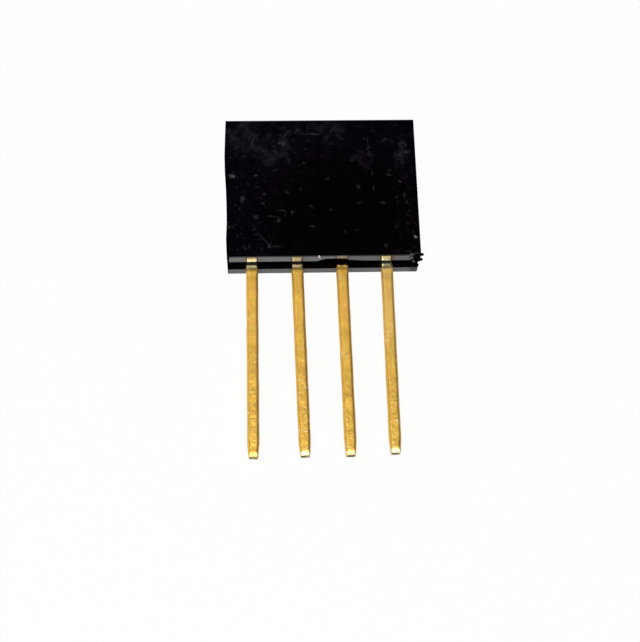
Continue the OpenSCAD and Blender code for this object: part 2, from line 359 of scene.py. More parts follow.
class Graph:
    """The node tree of one material or of the world."""

    def __init__(self, tree):
        self.tree = tree
        self.tree.nodes.clear()

    def node(self, kind, settings=None, inputs=(), output=0):
        """Adds one node: its settings first, then its sockets, by order or by name."""
        made = self.tree.nodes.new(kind)
        for key, value in (settings or {}).items():
            if key == "stops":
                self.set_stops(made.color_ramp, value)
            else:
                setattr(made, key, value)
        pairs = inputs.items() if isinstance(inputs, dict) else enumerate(inputs)
        for key, value in pairs:
            if isinstance(value, Value):
                self.tree.links.new(value.socket, made.inputs[key])
            elif value is not None:
                made.inputs[key].default_value = value
        return Value(self, made.outputs[output]) if len(made.outputs) else None

    def set_stops(self, ramp, stops):
        """Stops are (place, grey) pairs, in rising order."""
        while len(ramp.elements) < len(stops):
            ramp.elements.new(0.5)
        for element, (place, grey) in zip(ramp.elements, stops):
            element.position = place
            element.color = (grey, grey, grey, 1)

    def number(self, value):
        """A plain number as a value, so that it can stand before an operator."""
        return self.node("ShaderNodeMath", {"operation": "ADD"}, [float(value), 0.0])

    def place(self):
        """The point on the piece, in millimetres of its own frame."""
        point = self.node("ShaderNodeTexCoord", output="Object")
        return self.node("ShaderNodeVectorMath", {"operation": "SCALE"},
                         {"Vector": point, "Scale": 1 / MM})

    def split(self, vector):
        """The three parts of a vector."""
        made = self.node("ShaderNodeSeparateXYZ", {}, [vector])
        return [Value(self, socket) for socket in made.socket.node.outputs]

    def stretch(self, point, scale):
        """The point with each part scaled, which draws a pattern out along the others."""
        return self.node("ShaderNodeMapping", {}, {"Vector": point, "Scale": scale})

    def noise(self, point, scale, detail=3.0, roughness=0.5, distortion=0.0):
        """Soft noise from 0 to 1, with so many features to a millimetre."""
        return self.node("ShaderNodeTexNoise", {}, {
            "Vector": point, "Scale": scale, "Detail": detail, "Roughness": roughness,
            "Distortion": distortion})

    def ramp(self, value, *stops):
        """The grey that the stops give to a value, read off in straight stretches."""
        return self.node("ShaderNodeValToRGB", {"stops": stops}, [value])

    def step(self, value, low, high):
        """Rises smoothly from 0 at low to 1 at high."""
        return self.node("ShaderNodeMapRange", {"interpolation_type": "SMOOTHSTEP"},
                         {"Value": value, "From Min": low, "From Max": high})

    def mix(self, factor, a, b):
        """Colour a where factor is 0 and b where it is 1."""
        made = self.tree.nodes.new("ShaderNodeMix")
        made.data_type = "RGBA"
        for key, value in ((0, factor), (6, a), (7, b)):
            if isinstance(value, Value):
                self.tree.links.new(value.socket, made.inputs[key])
            else:
                made.inputs[key].default_value = value
        return Value(self, made.outputs[2])

    def attribute(self, name):
        """A number that the mesh holds at each point."""
        return self.node("ShaderNodeAttribute", {"attribute_name": name}, output="Fac")

    def bump(self, height, strength, distance):
        """A normal turned as if the surface stood out by height times distance."""
        return self.node("ShaderNodeBump", {}, {"Strength": strength, "Distance": distance,
                                                "Height": height})


def finish_material(name, build):
    """A material whose Principled sockets come from build(graph), as a dictionary. Where it
    has a "matt" entry, a factor and a colour, so much of it is a plain matt surface."""
    material = bpy.data.materials.new(name)
    material.use_nodes = True
    graph = Graph(material.node_tree)
    sockets = build(graph)
    matt = sockets.pop("matt", None)
    shader = graph.node("ShaderNodeBsdfPrincipled", {}, sockets)
    if matt:
        plain = graph.node("ShaderNodeBsdfDiffuse", {}, [matt[1]])
        shader = graph.node("ShaderNodeMixShader", {}, [matt[0], shader, plain])
    graph.node("ShaderNodeOutputMaterial", {}, {"Surface": shader})
    return material


# Finishes

def at_least(least, mask):
    """Least where the mask is 0, rising to 1 where it is 1."""
    return least + (1 - least) * mask


def front_marks(graph, point, along, height):
    """How hazy and how grimy the moulding is, from 0 to 1. The haze is a sum of ellipses
    whose middles wander with noise, broken into clouds, and grime is flecks at the sides."""
    upper = graph.step(height - along * HAZE_LEAN, *HAZE_HIGH)
    cloud = graph.step(graph.noise(point, 2.0, 4, 0.7, 0.6), 0.4, 0.62)
    sway, drift = [graph.noise(point, scale, 3, 0.6) * (2 * SMUDGE_SWAY) - SMUDGE_SWAY
                   for scale in (0.9, 1.2)]
    haze = graph.number(0)
    for x, y, across, up in SMUDGES:
        reach = ((along + sway - x) / across) ** 2 + ((height + drift - y) / up) ** 2
        haze = haze + graph.step(reach, *SMUDGE_FADE)
    haze = (haze * at_least(0.15, cloud) + upper * cloud * 0.12).clamped()
    side = (graph.step(along, *GRIME_LEFT) + graph.step(along, *GRIME_RIGHT)).clamped()
    grime = graph.step(graph.noise(point, 3.0, 4, 0.72), 0.54, 0.72) * at_least(
        0.06, (side + upper * 0.6).clamped())
    return haze, grime


def bare_plastic(graph, along, height, depth, rough):
    """How torn the stub is, and how matt the moulding is there, at its sawn end and deep in
    the channel between the rails, from 0 to 1."""
    look = bpy.context.scene.header_housing
    score, saw = look.score / MM, look.saw / MM
    torn = (graph.step(along, score, score + TORN_PAST) * graph.step(height, *TORN_HIGH)
            * graph.step(depth, *TORN_FRONT))
    broken = torn * at_least(0.96, graph.step(rough, 0.44, 0.56)) * at_least(
        0.5, graph.step(depth, *TORN_BACK))
    sawn = graph.step(along, saw + SAWN_PAST[0], saw + SAWN_PAST[1])
    deep = (graph.step(height, *CHANNEL_HIGH[0]) * graph.step(height, *CHANNEL_HIGH[1])
            * graph.step(depth, *CHANNEL_DEEP[0]) * graph.step(depth, *CHANNEL_DEEP[1]))
    return torn, (broken + sawn + deep).clamped()


def moulded_black(graph):
    """Glossy black nylon: smooth, with soft finger haze and grime, a grey painted sheen under
    the front rail and a pale painted reflection of the third contact on it, and matt where it
    was sawn, where it broke and in the channel."""
    look = bpy.context.scene.header_housing
    point = graph.place()
    along, height, depth = graph.split(point)
    haze, grime = front_marks(graph, point, along, height)
    rough = graph.noise(point, 7, 3, 0.6)
    torn, bare = bare_plastic(graph, along, height, depth, rough)
    inner = (((along - CLEAN_MIDDLE[0]) / CLEAN_REACH[0]) ** 2
             + ((height - CLEAN_MIDDLE[1]) / CLEAN_REACH[1]) ** 2)
    colour = graph.mix(graph.step(inner, *CLEAN_FADE), (*look.colour, 1), (*look.tint, 1))
    colour = graph.mix(haze * graph.noise(point, 5, 3, 0.6), colour, (*look.haze, 1))
    colour = graph.mix(grime, colour, (*look.grime, 1))
    seat = graph.step(height, *SEAT_HIGH)
    # Painted sheen: grey brightening under the front rail's left part
    painted_sheen = seat * graph.step(depth, *SHEEN_DEEP) * graph.step(along, *SHEEN_ALONG)
    colour = graph.mix(painted_sheen, colour, (*look.painted_sheen, 1))
    # Painted reflection: a pale patch on the front rail where the third contact shows mirrored
    beside = (along - REFLECTION_X).math("ABSOLUTE")
    painted_reflection = seat * graph.step(depth, *REFLECTION_DEEP) * graph.step(beside, *REFLECTION_BESIDE)
    colour = graph.mix(painted_reflection, colour, (*look.painted_reflection, 1))
    relief = graph.noise(point, 2.2, 2) * 0.25 + torn * rough * 1.2
    return {
        "Base Color": colour,
        "Roughness": GLOSSY - SEAT_GLOSS * seat + 0.1 * haze + 0.1 * torn,
        "Normal": graph.bump(relief, 1.0, PLASTIC_RELIEF * MM),
        "matt": (bare, (*look.torn, 1)),
    }


def plated_gold(graph):
    """Thin gold over stamped metal: satin and streaked along the tail, with nicks whose paler
    colour is a painted glint, and painted light on the upper part of the rightmost tail. Its
    root is rubbed, darker and browner on some contacts and pale as a painted highlight on
    others, and crossed by brown lines of painted shade. It is browner on the stamped sides,
    where painted shade makes the right sides darker, has a painted highlight on the bevels of
    its tip, and is dull and patchy where it was cut."""
    look = bpy.context.scene.header_contacts
    point = graph.place()
    along, height, _ = graph.split(point)
    side, cut, root, shine, mirror, tip, line = [
        graph.attribute(name) for name in CONTACT_VALUES]
    lower = graph.step(height, *WORN_LOW)
    streak = graph.noise(graph.stretch(point, (1, 0.07, 1)), 9, 3, 0.6)
    fine = graph.noise(graph.stretch(point, (1, 0.2, 1)), 26, 3)
    blotch = graph.noise(point, 1.5, 3, 0.6)
    mottle = graph.noise(graph.stretch(point, (1, 0.6, 1)), 4.5, 3, 0.65, 0.5)
    nick = graph.step(graph.noise(graph.stretch(point, (1, 0.8, 1)), 3.6, 3, 0.6, 0.8),
                      0.59, 0.65) * at_least(0.5, lower)
    chatter = graph.noise(graph.stretch(point, (0.5, 2.2, 1)), 3.4, 2, 0.6) * (
        lower * graph.step(blotch, 0.38, 0.55))
    tone = graph.step(streak * 0.25 + blotch * 0.35 + mottle * 0.4, 0.4, 0.58)
    colour = graph.mix(tone, (*look.worn, 1), (*look.colour, 1))
    warm = graph.step(graph.noise(point, 2.4, 2), 0.52, 0.62) * 0.6
    colour = graph.mix(warm, colour, (*look.warm, 1))
    colour = graph.mix(graph.step(mottle, 0.58, 0.7) * 0.5, colour, (*look.stain, 1))
    # Painted light: paler plating on the rightmost tail's upper part; the nicks' paler colour
    # is a painted glint
    painted_light = graph.step(along, *LIGHT_ALONG) * graph.step(height, *LIGHT_HEIGHTS) * LIGHT_SHARE
    colour = graph.mix((nick * 0.9 + painted_light).clamped(), colour, (*look.nick_glint_and_light, 1))
    # Painted highlight: the tip's bevels made pale and less metallic
    colour = graph.mix(tip, colour, (*look.tip, 1))
    # The roots: a darker, browner colour, or a pale painted highlight
    colour = graph.mix(root, colour, graph.mix(shine, (*look.dark_root, 1),
                                               (*look.root_highlight, 1)))
    # Painted shade: brown lines across the roots
    colour = graph.mix(line, colour, (*look.brown, 1))
    # Brown stamped sides, the right ones darker as painted shade
    sheared_and_shaded = (graph.step(side, 0.05, 0.5) + graph.step(side, -0.7, -1.0) * 0.5).clamped()
    colour = graph.mix((sheared_and_shaded * 0.85).clamped(), colour, (*look.sheared_and_shaded, 1))
    patch = graph.step(graph.noise(point, 3.0, 2), 0.45, 0.58)
    colour = graph.mix(cut, colour, graph.mix(patch, (*look.cut, 1), (*look.cut_pale, 1)))
    satin = SATIN + 0.12 * blotch - 0.06 * nick + 0.18 * tip
    near = graph.step(height, *DULL_NEAR)
    calm = graph.step(height, *CALM_NEAR)
    relief = streak * 0.2 + fine * 0.1 + mottle * at_least(0.5, lower) + chatter * 0.5
    return {
        "Base Color": colour,
        "Metallic": 1 - 0.35 * nick * (1 - root) - 0.4 * tip,
        "Roughness": ((satin + 0.1 * near) * (1 - root) + (RUBBED - POLISH * mirror) * root
                      + 0.15 * cut).clamped(),
        "Normal": graph.bump(relief * (1 - calm), 0.6, GOLD_RELIEF * MM),
    }


def pale_dust(graph):
    """Grey fluff and plastic crumbs. The faint ones are thin, and all thin out at the rim."""
    look = bpy.context.scene.header_dust
    shade = graph.attribute("shade")
    cover = graph.attribute("cover")
    grain = graph.noise(graph.place(), 16, 2)
    colour = graph.mix((shade ** GREY_POWER).clamped(), (*look.dark, 1), (*look.pale, 1))
    veil = VEIL[0] + VEIL[1] * shade
    return {"Base Color": colour, "Roughness": 0.5,
            "Alpha": (cover * veil * (GRAIN[0] + GRAIN[1] * grain)).clamped()}


# Meshes

class Shell:
    """Closed surfaces gathered into one mesh, with numbers held at their points."""

    def __init__(self, *names):
        self.points = []
        self.faces = []
        self.values = {name: [] for name in names}
        self.count = 0

    def add(self, points, faces, **values):
        points = np.asarray(points, float).reshape(-1, 3)
        self.points.append(points)
        self.faces += [[int(corner) + self.count for corner in face] for face in faces]
        for name, held in self.values.items():
            held.append(np.broadcast_to(np.ravel(values.get(name, 0.0)), len(points)))
        self.count += len(points)

    def piece(self, name, material, smooth=True):
        """The mesh object, at the origin. The points are in millimetres."""
        mesh = bpy.data.meshes.new(name)
        mesh.from_pydata((np.concatenate(self.points) * MM).tolist(), [], self.faces)
        for key, held in self.values.items():
            layer = mesh.attributes.new(key, "FLOAT", "POINT")
            layer.data.foreach_set("value", np.concatenate(held).astype(np.float32))
        mesh.polygons.foreach_set("use_smooth", np.full(len(mesh.polygons), smooth))
        mesh.materials.append(material)
        made = bpy.data.objects.new(name, mesh)
        bpy.context.scene.collection.objects.link(made)
        return made


def tube_faces(rings, around):
    """Quads between neighbouring rings of points, each ring closed, both ends capped."""
    ring, step = np.meshgrid(np.arange(rings - 1), np.arange(around), indexing="ij")
    here = ring * around + step
    beside = ring * around + (step + 1) % around
    quads = np.stack([here, beside, beside + around, here + around], axis=-1).reshape(-1, 4)
    return [*quads, np.arange(around)[::-1], (rings - 1) * around + np.arange(around)]


def rounded_section(corner_steps, face_steps):
    """A rounded rectangle as three arrays: the corner centre's share across and up, and
    the turn of the normal. Point = share * (half size - radius) + radius * (cos, sin)."""
    signs = [(1, 1), (-1, 1), (-1, -1), (1, -1)]
    across, up, turn = [], [], []
    for corner, (sx, sz) in enumerate(signs):
        nx, nz = signs[(corner + 1) % 4]
        arc = np.linspace(0, math.pi / 2, corner_steps + 1) + corner * math.pi / 2
        flat = np.linspace(0, 1, face_steps + 2)[1:-1]
        across += [np.full(arc.size, sx), sx + (nx - sx) * flat]
        up += [np.full(arc.size, sz), sz + (nz - sz) * flat]
        turn += [arc, np.full(flat.size, arc[-1])]
    return np.concatenate(across), np.concatenate(up), np.concatenate(turn)


def carry(section, centre, side, half_w, half_t, radius):
    """Carries a rounded rectangle along a path. centre and side are one point and one unit
    vector to a ring; the section's other way is Z. Sizes are one number to a ring."""
    across, up, turn = section
    width = across * (half_w - radius)[:, None] + radius[:, None] * np.cos(turn)
    height = up * (half_t - radius)[:, None] + radius[:, None] * np.sin(turn)
    points = centre[:, None, :] + width[..., None] * side[:, None, :]
    points[..., 2] += height
    return points


def prism(outline, low, high):
    """A flat outline drawn as X and Y, carried straight up from Z = low to Z = high."""
    outline = np.asarray(outline, float)
    rings = [np.column_stack([outline, np.full(len(outline), z)]) for z in (low, high)]
    return np.concatenate(rings), tube_faces(2, len(outline))


def dome(place, half, turn, sunk, rise, seed):
    """A thin, uneven dome that faces +Z. Its outline is an ellipse times
    1 + 0.22 sin(2t + a) + 0.14 sin(3t + b) + 0.08 sin(5t + c), and its height is a parabola."""
    angle = np.linspace(0, 2 * math.pi, DOME_POINTS + 1)[:-1]
    a, b, c = np.random.default_rng(seed).uniform(0, 2 * math.pi, 3)
    wave = (1 + 0.22 * np.sin(2 * angle + a) + 0.14 * np.sin(3 * angle + b)
            + 0.08 * np.sin(5 * angle + c))
    share = np.array(DOME_SHARES)[:, None]
    x, y = half[0] * wave * share * np.cos(angle), half[1] * wave * share * np.sin(angle)
    tilt = math.radians(turn)
    points = np.stack([place[0] + x * math.cos(tilt) - y * math.sin(tilt),
                       place[1] + x * math.sin(tilt) + y * math.cos(tilt),
                       place[2] - sunk + (rise + sunk) * (1 - share ** 2) + 0 * angle], axis=-1)
    return points, tube_faces(len(share), len(angle))


def mark_sharp(piece):
    """Keeps edges of more than about 35 degrees crisp under smooth shading."""
    mesh = bmesh.new()
    mesh.from_mesh(piece.data)
    for edge in mesh.edges:
        edge.smooth = edge.calc_face_angle(0) < SHARP
    mesh.to_mesh(piece.data)
    mesh.free()


def node_points(name):
    """The corners of a CAD node's mesh, in millimetres."""
    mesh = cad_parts[name].data
    points = np.empty(len(mesh.vertices) * 3)
    mesh.vertices.foreach_get("co", points)
    return points.reshape(-1, 3) / MM


# Settings

def colour_setting(name, description, default):
    """A colour that the user can change."""
    return FloatVectorProperty(name=name, description=description, default=default,
                               subtype="COLOR", min=0, max=1)


class HousingLook(bpy.types.PropertyGroup):
    """The moulding's colours, and where its two ends were cut"""

    colour: colour_setting("Plastic", "Colour of the moulding", (0.0013, 0.0002, 0.0021))
    tint: colour_setting("Tint", "Colour where the plastic is clean and a shade warmer",
                         (0.0011, 0.0001, 0.0004))
    haze: colour_setting("Haze", "Colour of the finger marks", (0.017, 0.0135, 0.023))
    torn: colour_setting("Torn plastic", "Colour of the matt break past the score line",
                         (0.002, 0.0015, 0.002))
    grime: colour_setting("Grime", "Colour of the faint dirt on the front",
                          (0.010, 0.007, 0.011))
    # Painted sheen: a grey film under the front rail's left part
    painted_sheen: colour_setting("Dusty rail", "Colour of the film of dust under the front rail",
                         (0.052, 0.053, 0.057))
    # Painted reflection: the pale patch on the front rail where the third contact shows
    # mirrored
    painted_reflection: colour_setting("Smear", "Colour of the pale smear on the rail by the third contact",
                          (0.19, 0.18, 0.2))
    score: FloatProperty(
        name="Score line", description="Where the stub of the next place starts",
        unit="LENGTH", default=5.08 * MM, precision=5)
    saw: FloatProperty(
        name="Saw cut", description="Where the neatly cut end lies", unit="LENGTH",
        default=-5.15 * MM, precision=5)


class ContactLook(bpy.types.PropertyGroup):
    """The tails' sizes and the plating's colours"""

    tail_width: FloatProperty(
        name="Tail width", description="Across a tail, along the row", unit="LENGTH",
        default=0.67 * MM, precision=5)
    tail_thickness: FloatProperty(
        name="Tail thickness", description="Through a tail, front to back", unit="LENGTH",
        default=0.6 * MM, precision=5)
    edge_round: FloatProperty(
        name="Edge rounding", description="Radius of a tail's long edges", unit="LENGTH",
        default=0.17 * MM, precision=5)
    colour: colour_setting("Gold", "Colour of the plating", (0.95, 0.60, 0.115))
    worn: colour_setting("Worn gold", "Colour of the plating where it is thin",
                         (0.82, 0.5, 0.085))
    # Painted highlight: the pale colour of the polished roots
    root_highlight: colour_setting("Burnished gold", "Colour of the polished roots",
                              (1.0, 0.93, 0.56))
    # The nicks' paler colour is a painted glint, and it also paints light on the rightmost tail
    nick_glint_and_light: colour_setting("Nicks", "Colour of the small bright nicks", (1.0, 0.73, 0.3))
    # Painted highlight on the bevels of the tips
    tip: colour_setting("Worn tip", "Colour of the rubbed bevels at the tips",
                        (1.0, 0.97, 0.84))
    # The darker, browner colour of some roots
    dark_root: colour_setting("Tarnished gold", "Colour of the roots that are rubbed dull",
                              (0.4, 0.31, 0.17))
    # Painted shade: the brown lines below the seat
    brown: colour_setting("Brown line", "Colour of the line across each root",
                          (0.36, 0.2, 0.03))
    warm: colour_setting("Warm gold", "Colour of the redder clouds in the plating",
                         (0.93, 0.5, 0.1))
    stain: colour_setting("Stain", "Colour of the olive specks in the plating",
                          (0.6, 0.42, 0.08))
    # Brown of the stamped sides, partly painted shade, which makes the right sides darker
    sheared_and_shaded: colour_setting("Sheared side", "Colour of the stamped, browner sides",
                            (0.74, 0.47, 0.15))
    cut: colour_setting("Cut end", "Colour of the bare metal at the tips", (0.15, 0.125, 0.04))
    cut_pale: colour_setting("Pale cut end", "Colour of the brighter patches at the tips",
                             (0.45, 0.42, 0.22))


class DustLook(bpy.types.PropertyGroup):
    """The dust's colours, and how much is strewn"""

    dark: colour_setting("Dark dust", "Colour of the darkest specks", (0.003, 0.0015, 0.0035))
    pale: colour_setting("Pale dust", "Colour of the palest specks", (0.9, 0.85, 0.9))
    count: IntProperty(
        name="Fine specks", description="Number of the tiny specks strewn over the front",
        default=55, min=0, max=400)


class StageLook(bpy.types.PropertyGroup):
    """The floor's colour and the soft lamp"""

    floor: colour_setting("Floor", "Colour of the floor", (0.9, 0.9, 0.9))
    lamp_radiance: FloatProperty(
        name="Lamp", description="Brightness of the soft lamp's face", default=16.5, min=0)
    lamp_distance: FloatProperty(
        name="Lamp distance", description="From the strip to the lamp", unit="LENGTH",
        default=0.3)
    lamp_radius: FloatProperty(
        name="Lamp radius", description="Radius of the soft lamp", unit="LENGTH",
        default=0.066)


# Steps

def view_axes():
    """The camera's right, up and backward directions, from its tilt, yaw and roll."""
    tilt, yaw, roll = (math.radians(a) for a in (VIEW_TILT, VIEW_YAW, VIEW_ROLL))
    back = Vector((math.sin(yaw) * math.cos(tilt), -math.sin(tilt),
                   math.cos(yaw) * math.cos(tilt))).normalized()
    level = Vector((0, 1, 0)).cross(back).normalized()
    rise = back.cross(level)
    right = math.cos(roll) * level + math.sin(roll) * rise
    up = math.cos(roll) * rise - math.sin(roll) * level
    return right, up, back


class HEADER_OT_stage(bpy.types.Operator):
    """Makes the camera, the floor, the soft lamp and the world"""

    bl_idname = "header.stage"
    bl_label = "Studio"

    def execute(self, context):
        look = context.scene.header_stage
        self.camera(context)
        self.floor(look)
        self.lamp(look)
        self.world(context.scene)
        context.scene.view_settings.view_transform = "Standard"
        return {"FINISHED"}

    def camera(self, context):
        """Stands back from the target along the view, slid a little across and down it."""
        right, up, back = view_axes()
        spot = (Vector(VIEW_TARGET) + VIEW_SLIDE[0] * right + VIEW_SLIDE[1] * up
                + VIEW_DISTANCE * back) * MM
        data = bpy.data.cameras.new("camera")
        data.sensor_fit = "HORIZONTAL"
        data.sensor_width = SENSOR_WIDTH
        data.lens = FOCAL_PIXELS / IMAGE_WIDTH * SENSOR_WIDTH
        data.clip_start = 1 * MM
        camera = bpy.data.objects.new("camera", data)
        camera.matrix_world = Matrix.Translation(spot) @ Matrix(
            (right, up, back)).transposed().to_4x4()
        context.scene.collection.objects.link(camera)
        context.scene.camera = camera

    def floor(self, look):
        """White paper. What looks straight at it, or sees it mirrored, sees it nearly white,
        so that only a faint shadow shows."""
        corners = [(x * FLOOR_HALF, y * FLOOR_HALF, 0)
                   for x, y in ((-1, -1), (1, -1), (1, 1), (-1, 1))]
        material = bpy.data.materials.new("floor_paper")
        material.use_nodes = True
        graph = Graph(material.node_tree)
        paper = graph.node("ShaderNodeBsdfDiffuse", {}, [(*look.floor, 1)])
        white = graph.node("ShaderNodeEmission", {}, [(1, 1, 1, 1), 1.0])
        straight, mirrored, through = [
            graph.node("ShaderNodeLightPath", output=kind)
            for kind in ("Is Camera Ray", "Is Glossy Ray", "Is Transmission Ray")]
        share = straight * FLOOR_GLOW + (mirrored + through) * MIRROR_GLOW
        mixed = graph.node("ShaderNodeMixShader", {}, [share.clamped(), paper, white])
        graph.node("ShaderNodeOutputMaterial", {}, {"Surface": mixed})
        ground = Shell()
        ground.add(corners, [(0, 1, 2, 3)])
        ground.piece("floor", material, smooth=False)

    def lamp(self, look):
        """A round lamp that faces the strip. Its power is radiance times pi times area."""
        back = Vector((math.tan(math.radians(LAMP_LEFT)), math.tan(math.radians(LAMP_LOW)),
                       1.0)).normalized()
        area = math.pi * look.lamp_radius ** 2
        data = bpy.data.lights.new("soft_lamp", "AREA")
        data.shape = "DISK"
        data.size = 2 * look.lamp_radius
        data.energy = look.lamp_radiance * math.pi * area
        lamp = bpy.data.objects.new("soft_lamp", data)
        lamp.matrix_world = (Matrix.Translation(back * look.lamp_distance)
                             @ back.to_track_quat("Z", "Y").to_matrix().to_4x4())
        bpy.context.scene.collection.objects.link(lamp)

    def world(self, scene):
        """A pale room under a dark ceiling, dimmer to the right. It looks plain white."""
        scene.world = bpy.data.worlds.new("studio")
        scene.world.use_nodes = True
        graph = Graph(scene.world.node_tree)
        direction = graph.node("ShaderNodeTexCoord", output="Generated")
        across, _, height = graph.split(direction)
        room = graph.ramp(height, *ROOM_STOPS) * (1 - graph.step(across, *ROOM_SIDE) * ROOM_DIM)
        straight = graph.node("ShaderNodeLightPath", output="Is Camera Ray")
        seen = room * (1 - straight) + straight
        sky = graph.node("ShaderNodeBackground", {}, [seen, 1.0])
        graph.node("ShaderNodeOutputWorld", {}, [sky])


class HEADER_OT_housing(bpy.types.Operator):
    """Gives the moulding its plastic"""

    bl_idname = "header.housing"
    bl_label = "Moulding"

    def execute(self, context):
        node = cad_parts[HOUSING]
        node.data.materials.clear()
        node.data.materials.append(finish_material("black_moulding", moulded_black))
        return {"FINISHED"}


class HEADER_OT_contacts(bpy.types.Operator):
    """Makes the four stamped contacts, each from its leaves to the tip of its tail"""

    bl_idname = "header.contacts"
    bl_label = "Contacts"

    def execute(self, context):
        look = context.scene.header_contacts
        gold = finish_material("plated_gold", plated_gold)
        for number, name in enumerate(CONTACTS):
            points = node_points(name)
            upper = points[points[:, 1] > ANCHOR_TOP]
            x, _, z = (upper.min(0) + upper.max(0)) / 2
            tip = points[:, 1].min()
            end = points[points[:, 1] < tip + TIP_BAND].mean(0)
            shell = Shell(*CONTACT_VALUES)
            self.tail(shell, look, (x, z), (end[0], tip), number)
            if number == BURRED:
                self.burrs(shell, look, x, z)
            self.anchor(shell, x, z)
            for way in (-1, 1):
                self.leaf(shell, x, z, way)
            piece = shell.piece(name + "_stamping", gold)
            mark_sharp(piece)
            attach(piece, ROOT)
            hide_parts(name)
        return {"FINISHED"}

    def tail(self, shell, look, middle, tip, number):
        """A rounded rectangle carried down a straight, leaning line, and closed at the tip by
        smaller rings that are dished a little."""
        base = np.array([middle[0], PIVOT_Y, middle[1]])
        end = np.array([tip[0], tip[1], middle[1]])
        run = base - end
        length = np.hypot(run[0], run[1])
        axis = run / length
        side = np.array([axis[1], -axis[0], 0.0])
        place = np.concatenate([
            TIP_PLACES, np.arange(RING_FIRST, length - RING_STOP, RING_STEP),
            length - PIVOT_Y - ROOT_RINGS, [length + TAIL_SUNK]])
        section = rounded_section(*TAIL_SECTION)
        centre = end + place[:, None] * axis
        rings = carry(section, centre, np.broadcast_to(side, centre.shape),
                      *self.tail_sizes(look, place, length, number))
        shrink = np.array(CAP_SHARES)[:, None, None]
        dip = np.array(CAP_DIPS)[:, None, None] * axis
        points = np.concatenate([end + shrink * (rings[0] - end) + dip, rings])
        facing = np.broadcast_to(np.cos(section[2]), points.shape[:2])
        marks = {name: held[:, None] + 0 * facing
                 for name, held in self.tail_marks(place, length, number).items()}
        shell.add(points, tube_faces(len(points), points.shape[1]), side=facing,
                  shine=ROOT_SHINE[number], mirror=ROOT_MIRROR[number], **marks)

    def tail_sizes(self, look, place, length, number):
        """Half width, half thickness and edge radius at each distance y from the tip of
        contact n. They are read off tables, thinned at the neck and by a straight taper at
        the root, and the faces wander by sin(2.1 y + 1.7 n) + 0.6 sin(5.3 y + n), a few
        microns high, the front and back seven rings behind the sides."""
        below = length - PIVOT_Y - place
        half_w = np.interp(place, *np.transpose(TIP_WIDTHS)) * look.tail_width / MM / 2
        half_t = np.interp(place, *np.transpose(TIP_DEPTHS)) * look.tail_thickness / MM / 2
        half_t = half_t * np.interp(below, NECK_PLACES, (NECK_SHARE, 1.0))
        taper = math.tan(math.radians(ROOT_TAPER[number]))
        half_t = half_t - taper * np.clip(ROOT_REACH[number] - below, 0, 0.5)
        wave = np.sin(place * 2.1 + number * 1.7) + 0.6 * np.sin(place * 5.3 + number)
        calm = (np.clip((place - WOBBLE_START) * 2, 0, 1)
                * np.clip((length - RING_STOP - place) * 2, 0, 1))
        half_w = half_w + WOBBLE * wave * calm
        half_t = half_t + WOBBLE * np.roll(wave, 7) * calm
        radius = np.minimum(look.edge_round / MM, TIP_ROUND + place * TIP_ROUND_GAIN)
        radius = np.minimum(radius, np.interp(below, ROOT_PLACES, ROOT_ROUNDS))
        return half_w, half_t, radius

    def tail_marks(self, place, length, number):
        """What the rings hold, the cap's first: cut end, the painted highlight on the tip,
        brown lines of painted shade as bell curves, and the rubbed root, which ends in a smooth
        step."""
        below = length - PIVOT_Y - place
        cap = len(CAP_SHARES)
        # Brown lines of painted shade
        line = sum(strength * np.exp(-((below - mark) / reach) ** 2)
                   for contact, mark, reach, strength in SHADE_LINES if contact == number)
        # The painted highlight on the tip, full on the cap and fading up the tail
        worn = TIP_HIGHLIGHT[number] * np.concatenate([
            np.ones(cap), np.clip(1 - place / TIP_HIGHLIGHT_REACH, 0, 1)])
        rise = np.clip((ROOT_REACH[number] - below) / ROOT_SOFT + 0.5, 0, 1)
        return {
            "cut": np.repeat([1.0, 0.0], [cap, place.size]),
            "tip": worn,
            "line": np.concatenate([np.zeros(cap), line]),
            "root": np.concatenate([np.zeros(cap), rise ** 2 * (3 - 2 * rise)]),
        }

    def burrs(self, shell, look, x, z):
        """Low domes on the front of a tail, close below the seat."""
        front = z + look.tail_thickness / MM / 2 * NECK_SHARE
        for seed, (across, below, half_x, half_y) in enumerate(BURRS):
            shell.add(*dome((x + across, -below, front), (half_x, half_y), 0, BURR_SUNK,
                            BURR_RISE, seed), tip=BURR_HIGHLIGHT, line=BURR_SHADE)

    def anchor(self, shell, x, z):
        """The pressed-in plate: an outline with two barbs on each edge, and a round dimple
        on both faces."""
        right = [(ANCHOR_HALF, ANCHOR_LOW)]
        for start in BARB_STARTS:
            right += [(ANCHOR_HALF, start), (ANCHOR_HALF + BARB_OUT, start + BARB_STEP),
                      (ANCHOR_HALF, start + BARB_HEIGHT)]
        right.append((ANCHOR_HALF, ANCHOR_HIGH))
        right = np.array(right)
        outline = np.concatenate([right, right[::-1] * (-1, 1)]) + (x, 0)
        shell.add(*prism(outline, z - PLATE_HALF, z + PLATE_HALF))
        turn = np.linspace(0, 2 * math.pi, DIMPLE_POINTS + 1)[:-1]
        middle = (x, (ANCHOR_LOW + ANCHOR_HIGH) / 2)
        dimple = np.column_stack([np.cos(turn), np.sin(turn)]) * DIMPLE_RADIUS + middle
        shell.add(*prism(dimple, z - LEAF_DEPTH / 2, z + LEAF_DEPTH / 2))

